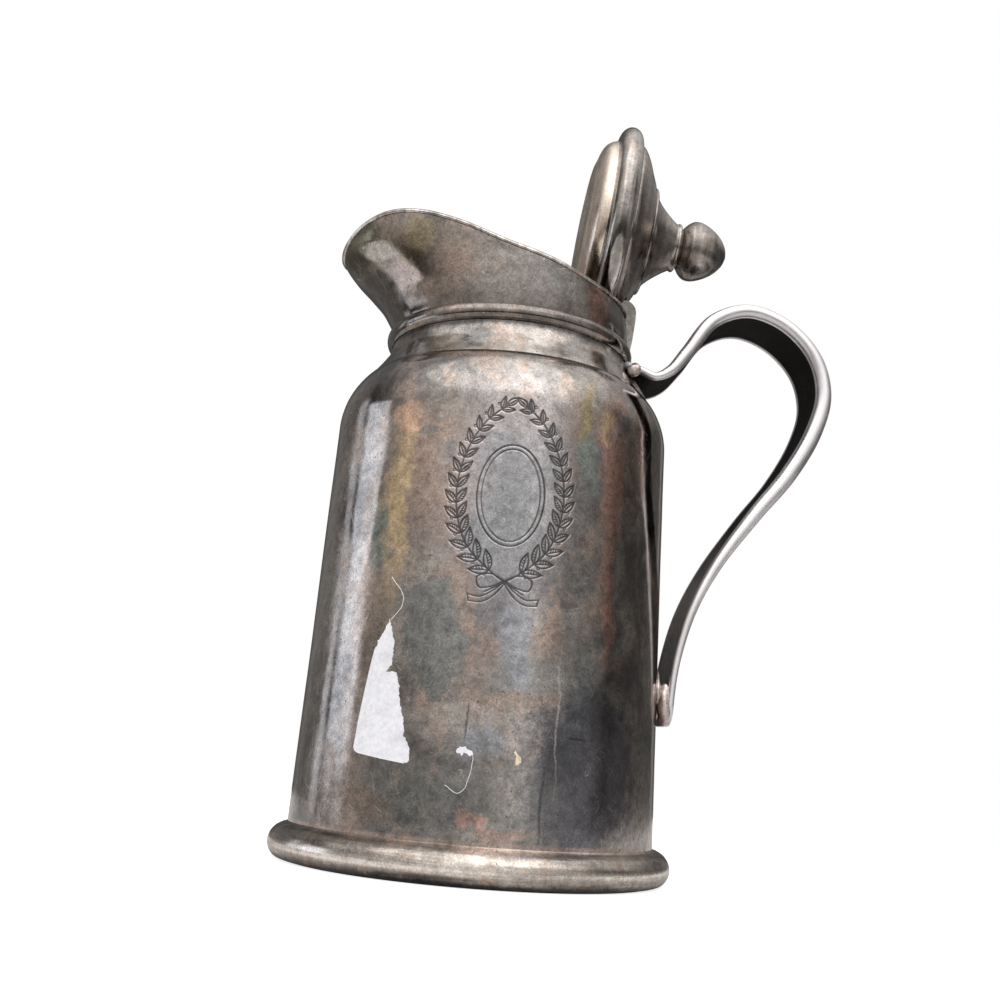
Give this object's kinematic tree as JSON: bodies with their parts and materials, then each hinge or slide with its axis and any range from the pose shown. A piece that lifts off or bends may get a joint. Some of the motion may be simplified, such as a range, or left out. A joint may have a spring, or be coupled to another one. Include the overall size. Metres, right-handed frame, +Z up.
{
  "type": "pitcher",
  "caption": "Tapered silver-plated pitcher with a beaded neck, helmet spout, strap handle and a hinged domed lid with a turned knob.",
  "frame": {"origin": "centre of the foot ring, on the surface that the pitcher stands on", "axes": "+Z up the body's axis, -X towards the spout, +X towards the handle, Y along the hinge pin"},
  "size_m": [0.1308, 0.095, 0.1933],
  "materials": {
    "body_silver": "worn, tarnished silver plate on nickel silver",
    "rim_silver": "brighter rubbed silver plate",
    "handle_silver": "worn silver plate, bright on the edges",
    "lid_silver": "darker tarnished silver plate",
    "fittings": "dull plated brass"
  },
  "bodies": {
    "pitcher": {"body_shell": "body_silver", "base_plate": "body_silver", "foot_ring": "body_silver", "neck_bead": "rim_silver", "spout_collar": "body_silver", "rim_wire": "rim_silver", "lid_rest_tabs": "fittings", "hinge_back_plate": "fittings", "hinge_arms": "fittings", "hinge_pin": "fittings", "handle_strap": "handle_silver", "handle_upper_pad": "handle_silver", "handle_lower_pad": "handle_silver"},
    "lid": {"lid_shell": "lid_silver", "lid_flange_ring": "rim_silver", "lid_pan": "lid_silver", "lid_hinge_pocket": "fittings", "lid_hinge_leaf": "fittings", "finial_knob": "lid_silver", "finial_stud": "fittings", "finial_washer": "fittings", "finial_nut": "fittings"}
  },
  "joints": [
    {"name": "lid_hinge", "type": "hinge", "parent": "pitcher", "child": "lid", "pos_m": [0.0225, 0, 0.1418], "axis": [0, 1, 0], "range_deg": [-95.7, 0]}
  ]
}
